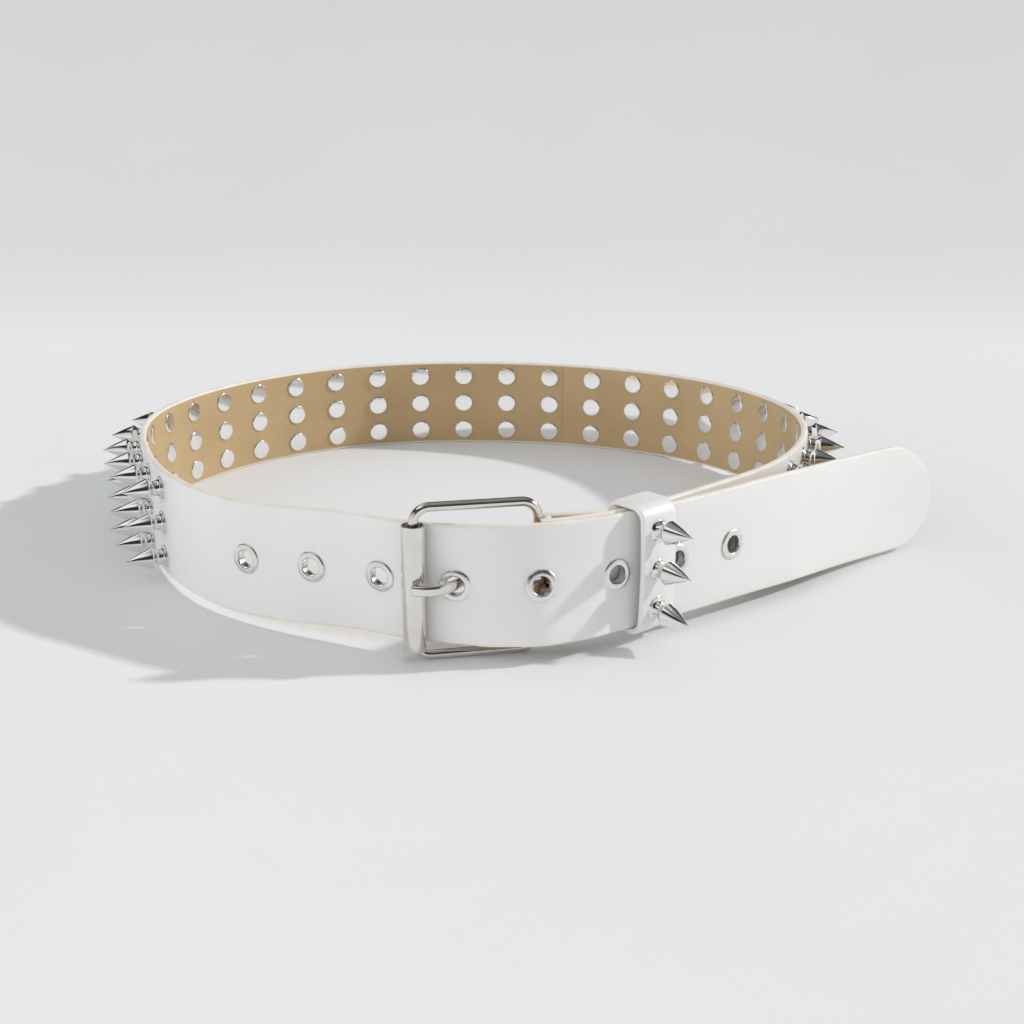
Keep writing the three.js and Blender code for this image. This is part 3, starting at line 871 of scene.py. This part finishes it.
def makeEyelets():
    profile = eyeletProfile()
    for i, along in enumerate(eyeletStops):
        shape = startShape()
        addTurned(shape, profile, eyelet["sides"], onOuterFace(outerPlace(along)), ring=True)
        thing = makeObject(f"eyeletRing{i + 1}", shape, (satin,))
        finishPiece(thing, "belt", f"eyelet_{i + 1}")


# The studs through the strap

stud = {
    "rows": 3,
    "rowPitch": 12.5,
    "columnPitch": 20,
    "firstColumn": 54.7,    # from the outermost eyelet
    "lastColumn": 150,      # to the prong's eyelet, at least
    "foot": 8.4,
    "neck": 4.8,
    "neckHeight": 3.1,
    "cone": 7.9,
    "coneHeight": 5.0,      # where the cone is widest
    "height": 14,
    "head": 8.2,            # the flat disc on the inside
    "headHeight": 0.7,
    "sides": 28,
    "lean": 1.4,            # degrees that the studs stand out of true
    "headLean": 0.4,        # the discs' share of that
}
dice = random.Random(7)
firstStud = eyeletStops[0] + stud["firstColumn"]
studColumns = math.floor((loopLength - stud["lastColumn"] - firstStud) / stud["columnPitch"]) + 1
studStops = [firstStud + i * stud["columnPitch"] for i in range(studColumns)]
rowHeights = [(i - (stud["rows"] - 1) / 2) * stud["rowPitch"] for i in range(stud["rows"])]


# From the root, under the face that it stands on at "seat", up to the tip.
def spikeProfile(seat, root):
    foot, neck, cone = stud["foot"] / 2, stud["neck"] / 2, stud["cone"] / 2
    widest = seat + stud["coneHeight"]
    tip = seat + stud["height"]
    rows = [
        (0, root),
        (foot - 0.15, root),
        (foot, seat + 0.05, 0.1),                       # the flared foot
        (foot - 0.05, seat + 0.42, 0.22),
        (neck + 0.55, seat + 0.95, 0.8),
        (neck, seat + stud["neckHeight"], 0.7),
        (cone - 0.25, widest - 0.45, 0.4),              # out to the widest
        (cone, widest, 0.3),
        (cone * 0.58, widest + (tip - widest) * 0.46, 1.5),
        (0.42, tip - 1.1, 0.3),                         # the blunt tip
        (0.16, tip - 0.15, 0.15),
        (0, tip),
    ]
    return rounded(rows, 3)


def headProfile(seat, root, height):
    radius = stud["head"] / 2
    rows = [
        (0, seat - height),
        (radius - 0.35, seat - height + 0.02, 0.2),
        (radius, seat - height + 0.3, 0.25),
        (radius, root),
        (0, root),
    ]
    return rounded(rows, 3)


# How far one piece stands out of true, as (lean, turn).
def astray(share):
    return [dice.uniform(-stud["lean"], stud["lean"]) * share for _ in range(2)]


def studsShape():
    shape = startShape()
    spike = spikeProfile(halfThickness, halfThickness - 0.6)
    head = headProfile(-halfThickness, -halfThickness + 0.4, stud["headHeight"])
    for along in studStops:
        place = layerPlace(along)
        for rise in rowHeights:
            addTurned(shape, spike, stud["sides"], onOuterFace(place, rise, *astray(1)), 0)
            addTurned(shape, head, stud["sides"], onOuterFace(place, rise, *astray(stud["headLean"])), 1)
    return shape


# The strap: one band from its tip round the loop, behind the free end, round the bar and back

# The section as (out, rise) points, with the material of each side: 0 face, 1 edge, 2 lining.
def bandOutline(halfWidth, halfDepth):
    corner = min(strap["edgeRound"], halfWidth * 0.9, halfDepth * 0.9)
    flat = halfWidth - corner
    faceSteps, cornerSteps = strap["faceSteps"], strap["cornerSteps"]
    half = [(halfDepth, flat * (2 * i / faceSteps - 1)) for i in range(faceSteps)]
    for i in range(2 * cornerSteps):
        if i == cornerSteps:
            half.append((0, halfWidth))
        angle = math.pi / 2 * i / cornerSteps
        side = halfDepth - corner if i < cornerSteps else corner - halfDepth
        half.append((side + corner * math.cos(angle), flat + corner * math.sin(angle)))
    points = half + [(-out, -rise) for out, rise in half]
    edge = [1] * (len(half) - faceSteps)
    return points, [0] * faceSteps + edge + [2] * faceSteps + edge


def bandRing(place, halfWidth=strap["width"] / 2, halfDepth=halfThickness, groove=0):
    points, _ = bandOutline(halfWidth, halfDepth)
    onLining = -halfDepth + 1e-6
    return [onStrap(place, out + (groove if out < onLining else 0), rise) for out, rise in points]


def tipRings():
    steps = strap["tipSteps"]
    rings = []
    for i in range(1, steps + 1):
        angle = math.pi / 2 * (i / steps) ** strap["tipCrowding"]
        distance = strap["tip"] * (1 - math.cos(angle))
        halfWidth = strap["width"] / 2 * math.sin(angle) ** (2 / strap["tipRoundness"])
        inFrom = min(distance / strap["edgeRound"], 1)
        halfDepth = halfThickness * max(math.sqrt(1 - (1 - inFrom) ** 2), strap["tipThinnest"])
        rings.append(bandRing(outerPlace(distance - strap["tail"]), halfWidth, halfDepth))
    return rings


def bandShape():
    shape = startShape()
    rings = tipRings()
    seam = strap["seamAlong"]
    wide = strap["seamWidth"]
    grooves = {seam - wide: 0, seam - wide / 2: 1, seam: 1, seam + wide / 2: 1, seam + wide: 0}
    stops = evenStops(strap["tip"] - strap["tail"], loopLength + buckle["barAlong"], strap["step"])[1:]
    stops = [along for along in stops if abs(along - seam) > 2 * wide]
    for along in sorted(stops + list(grooves)):
        rings.append(bandRing(layerPlace(along), groove=strap["seamDepth"] * grooves.get(along, 0)))
    for i in range(1, strap["foldSteps"]):
        angle = 180 * i / strap["foldSteps"]
        outward = turnAbout(barPlace.outward, angle)
        rings.append(bandRing(SimpleNamespace(
            point=barCentre + outward * foldRadius,
            heading=turnAbout(barPlace.heading, angle),
            outward=outward,
            lift=barPlace.lift,
            lean=0,
        )))
    for back in evenStops(0, strap["foldBack"], strap["step"]):
        rings.append(bandRing(turnedBackPlace(buckle["barAlong"] - back)))
    addLoft(shape, rings, bandOutline(strap["width"] / 2, halfThickness)[1])
    return shape


def makeStrap():
    band = makeObject("studdedStrap", bandShape(), (leatherWhite, leatherEdge, leatherTan))
    holes = makeObject("holeCutter", holeShape(), (leatherEdge,))
    slot = makeObject("slotCutter", slotShape(), (leatherEdge,))
    studs = makeObject("studField", studsShape(), (chrome, disc))
    combine(band, ("DIFFERENCE", holes), ("DIFFERENCE", slot), ("UNION", studs))
    finishPiece(band, "belt", "strap")


# The keeper, hung on the layers inside it

keeper = {
    "length": 15,
    "thickness": 1.9,
    "headroom": 0.3,        # spare height inside, over the clearance
    "slack": 0.4,           # spare depth inside
    "turn": 5,              # degrees that it sits askew on the strap
    "corner": 4.8,
    "cornerSteps": 10,
    "sideStep": 3,
    "bulge": 0.9,           # how far the front swells between its corners
    "edgeRound": 0.8,
    "edgeSteps": 4,
    "studLeans": [3, 0, -9],    # degrees, from the top stud down
    "studPlay": 0.05,
    "post": 3,
    "postPlay": 0.12,
    "postSides": 24,
    "studSides": 40,
}
keeperAlong = strap["leavesAt"]
keeperPlace = loopPlace(keeperAlong)
studHeadRoom = stud["headHeight"] + 2 * clearance
keeperHeight = strap["width"] + clearance + keeper["headroom"]
keeperHeading = turnAbout(keeperPlace.heading, keeper["turn"])
keeperOutward = Vector((-keeperHeading.y, keeperHeading.x, 0))


def placesInside(placeAt):
    half = keeper["length"] / 2 + keeper["thickness"]
    return [placeAt(keeperAlong + step) for step in (-half, -half / 2, 0, half / 2, half)]


def reaches(places):
    return [(beside(place, halfThickness) - keeperPlace.point).dot(keeperOutward) for place in places]


tailInside = placesInside(outerPlace)
turnedInside = placesInside(turnedBackPlace)
keeperFront = max(reaches(tailInside)) + studHeadRoom
keeperDepth = keeperFront - min(reaches(turnedInside)) + keeper["slack"]
highestLift = max(place.lift for place in tailInside + turnedInside)
keeperMiddle = highestLift + strap["width"] + clearance - keeperHeight / 2


def keeperStudMatrix(row):
    place = SimpleNamespace(
        point=beside(keeperPlace, keeperFront), heading=keeperHeading, outward=keeperOutward)
    height = keeperMiddle + ((stud["rows"] - 1) / 2 - row) * stud["rowPitch"]
    return facing(place, height, keeper["studLeans"][row], 0)


def keeperShape():
    middle = beside(keeperPlace, keeperFront - keeperDepth / 2, keeperMiddle)
    width = keeperDepth + 2 * keeper["thickness"]
    height = keeperHeight + 2 * keeper["thickness"]
    corner, soft = keeper["corner"], keeper["edgeRound"]
    outline = roundedRectangle(width, height, corner, keeper["cornerSteps"], keeper["sideStep"])
    section = roundedRectangle(keeper["length"], keeper["thickness"], soft, keeper["edgeSteps"])
    rings = []
    for x, y, angle in outline:
        across = keeperOutward * math.cos(angle) + up * math.sin(angle)
        if x > 0:
            x += keeper["bulge"] * (1 - (2 * y / height) ** 2)
        line = middle + keeperOutward * x + up * y - across * keeper["thickness"] / 2
        rings.append([line + keeperHeading * long + across * thick for long, thick, _ in section])
    shape = startShape()
    addLoft(shape, rings, closed=True)
    return shape


def makeKeeper():
    deep = keeper["thickness"]
    post = keeper["post"] / 2
    hole = post + keeper["postPlay"]
    posts = startShape()
    for row in range(stud["rows"]):
        profile = [(0, -deep), (hole, -deep), (hole, 2 * deep), (0, 2 * deep)]
        addTurned(posts, profile, keeper["postSides"], keeperStudMatrix(row))
    band = makeObject("keeperLoop", keeperShape(), (leatherWhite,))
    combine(band, ("DIFFERENCE", makeObject("postCutter", posts, (leatherEdge,))))
    finishPiece(band, "belt", "keeper")
    play = keeper["studPlay"]
    face = deep + play
    inside = -play - stud["headHeight"]
    head = stud["head"] / 2
    profile = [(0, inside), (head - 0.3, inside), (head, inside + 0.25), (head, -play)]
    profile += [(post, -play), (post, face)] + spikeProfile(face, face)[1:]
    for row in range(stud["rows"]):
        shape = startShape()
        addTurned(shape, profile, keeper["studSides"], keeperStudMatrix(row))
        thing = makeObject(f"keeperSpike{row + 1}", shape, (chrome,))
        finishPiece(thing, "belt", f"keeper_stud_{row + 1}")


# Floor, light and camera

# A sheet of paper that curves up behind the belt and gets dimmer there. Its sizes are in metres.
def makeFloor():
    sheet = {
        "halfWidth": 4.0,
        "front": -3.5,
        "curveFrom": 0.42,
        "curve": 0.75,              # radius
        "rise": 66,                 # degrees
        "steps": 24,
        "bright": (0.83, 0.845, 0.858, 1),
        "dim": (0.805, 0.82, 0.834, 1),
        "fade": (0.36, 0.62),       # from and to this far back
        "farShade": 0.89,
    }
    profile = [(sheet["front"], 0), (-1, 0), (0, 0), (sheet["curveFrom"], 0)]
    for i in range(1, sheet["steps"] + 1):
        angle = math.radians(sheet["rise"]) * i / sheet["steps"]
        back = sheet["curveFrom"] + sheet["curve"] * math.sin(angle)
        profile.append((back, sheet["curve"] * (1 - math.cos(angle))))
    points = [(side * sheet["halfWidth"], y, z) for y, z in profile for side in (-1, 1)]
    faces = [(2 * i, 2 * i + 1, 2 * i + 3, 2 * i + 2) for i in range(len(profile) - 1)]
    mesh = bpy.data.meshes.new("paperSweep")
    mesh.from_pydata(points, [], faces)
    mesh.shade_smooth()
    sweep = bpy.data.objects.new("paperSweep", mesh)
    bpy.context.scene.collection.objects.link(sweep)
    material = startMaterial("palePaper", {"Specular IOR Level": 0.15})
    tree = material.node_tree
    color = addBlend(tree, addRange(tree, addNoise(tree, 4, 5), 0, 1), sheet["bright"], sheet["dim"])
    place = addNode(tree, "ShaderNodeTexCoord").outputs["Object"]
    depth = addNode(tree, "ShaderNodeSeparateXYZ", {"Vector": place}).outputs["Y"]
    shade = addRange(tree, depth, 1, sheet["farShade"], *sheet["fade"])
    color = addBlend(tree, 1.0, color, shade, "MULTIPLY")
    roughness = addRange(tree, addNoise(tree, 60, 4), 0.75, 0.9)
    plug(material, color=color, roughness=roughness, normal=addBump(tree, addNoise(tree, 700, 4), 0.04))
    mesh.materials.append(material)


def makeLight():
    sun = {"strength": 1.97, "elevation": 30, "azimuth": 11.3, "angle": 2.8, "color": (1.0, 0.985, 0.96)}
    lamp = bpy.data.lights.new("windowSun", "SUN")
    lamp.energy = sun["strength"]
    lamp.angle = math.radians(sun["angle"])
    lamp.color = sun["color"]
    thing = bpy.data.objects.new("windowSun", lamp)
    elevation = math.radians(sun["elevation"])
    azimuth = math.radians(sun["azimuth"])
    level = math.cos(elevation)
    towards = Vector((math.cos(azimuth) * level, math.sin(azimuth) * level, math.sin(elevation)))
    thing.rotation_mode = "QUATERNION"
    thing.rotation_quaternion = towards.to_track_quat("Z", "Y")
    bpy.context.scene.collection.objects.link(thing)


# Grey levels with a trace of blue, by a value from 0 to 1.
def addRamp(tree, value, stops):
    tint = (1, 1.006, 1.014)
    ramp = addNode(tree, "ShaderNodeValToRGB", {"Fac": value})
    elements = ramp.color_ramp.elements
    while len(elements) < len(stops):
        elements.new(0.5)
    for element, (position, level) in zip(elements, stops):
        element.position = position
        element.color = (level * tint[0], level * tint[1], level * tint[2], 1)
    return ramp.outputs["Color"]


# An even, pale room for the light. What shines mirrors a dimmer one, with bright panels overhead on the
# left, at the left and at the right. The ramps go by height, from 0 at eye level to 1 straight above.
def makeWorld():
    room = {
        "strength": 0.96,
        "light": [(0, 0.585), (0.3, 0.565), (0.75, 0.56)],
        "brightSide": (-0.85, -0.36, -0.38),    # more light comes from here
        "brightest": 3.5,                       # up to this many times as much
        "brightSpread": (0.15, 0.9),
        "mirroredLeft": [
            (0, 0.75), (0.06, 0.5), (0.13, 0.03), (0.66, 0.02), (0.74, 0.95), (0.88, 0.95), (0.94, 0.3),
        ],
        "mirroredRight": [
            (0, 0.75), (0.06, 0.5), (0.13, 0.03), (0.66, 0.05), (0.74, 0.16), (0.88, 0.2), (0.94, 0.3),
        ],
        "leftToRight": (-0.3, -0.06),
        "rightPanel": (0.72, 0.8),
        "rightColor": (0.95, 0.95, 0.95, 1),
        "leftPanel": (0.55, 0.7),
        "leftColor": (0.85, 0.85, 0.83, 1),
        "panelShare": 0.8,
        "seen": (0.70, 0.705, 0.71, 1),         # what the camera sees past the paper
    }
    world = bpy.data.worlds.new("paleRoom")
    bpy.context.scene.world = world
    world.use_nodes = True
    tree = world.node_tree
    direction = addNode(tree, "ShaderNodeTexCoord").outputs["Generated"]
    split = addNode(tree, "ShaderNodeSeparateXYZ", {"Vector": direction})
    height, across = split.outputs["Z"], split.outputs["X"]
    values = {0: direction, 1: room["brightSide"]}
    towards = addNode(tree, "ShaderNodeVectorMath", values, operation="DOT_PRODUCT").outputs["Value"]
    more = addRange(tree, towards, 1, room["brightest"], *room["brightSpread"])
    light = addBlend(tree, 1.0, addRamp(tree, height, room["light"]), more, "MULTIPLY")
    left = addRamp(tree, height, room["mirroredLeft"])
    right = addRamp(tree, height, room["mirroredRight"])
    mirrored = addBlend(tree, addRange(tree, across, 0, 1, *room["leftToRight"]), left, right)
    rightPanel = addRange(tree, across, 0, room["panelShare"], *room["rightPanel"])
    mirrored = addBlend(tree, rightPanel, mirrored, room["rightColor"])
    leftPanel = addRange(tree, towards, 0, room["panelShare"], *room["leftPanel"])
    mirrored = addBlend(tree, leftPanel, mirrored, room["leftColor"])
    rays = addNode(tree, "ShaderNodeLightPath")
    color = addBlend(tree, rays.outputs["Is Glossy Ray"], light, mirrored)
    color = addBlend(tree, rays.outputs["Is Camera Ray"], color, room["seen"])
    background = tree.nodes["Background"]
    tree.links.new(color, background.inputs["Color"])
    background.inputs["Strength"].default_value = room["strength"]


def makeCamera():
    view = {
        "lens": 54.35,
        "sensor": 36,
        "place": (2.6, -571.16, 183.7),
        "down": 17.35,
        "roll": 0.257,
        "far": 50,          # in metres
    }
    data = bpy.data.cameras.new("camera")
    data.lens = view["lens"]
    data.sensor_width = view["sensor"]
    data.clip_end = view["far"]
    camera = bpy.data.objects.new("camera", data)
    tilt = Matrix.Rotation(math.radians(90 - view["down"]), 4, "X")
    roll = Matrix.Rotation(math.radians(view["roll"]), 4, "Z")
    camera.matrix_world = Matrix.Translation(Vector(view["place"]) * metre) @ tilt @ roll
    bpy.context.scene.collection.objects.link(camera)
    bpy.context.scene.camera = camera


# Making everything

makeStrap()
makeEyelets()
makeFrame()
makeRoller()
makeProng()
makeKeeper()
makeFloor()
makeLight()
makeWorld()
makeCamera()
bpy.context.scene.view_settings.view_transform = "Standard"
print("belt: floor, light and camera made")
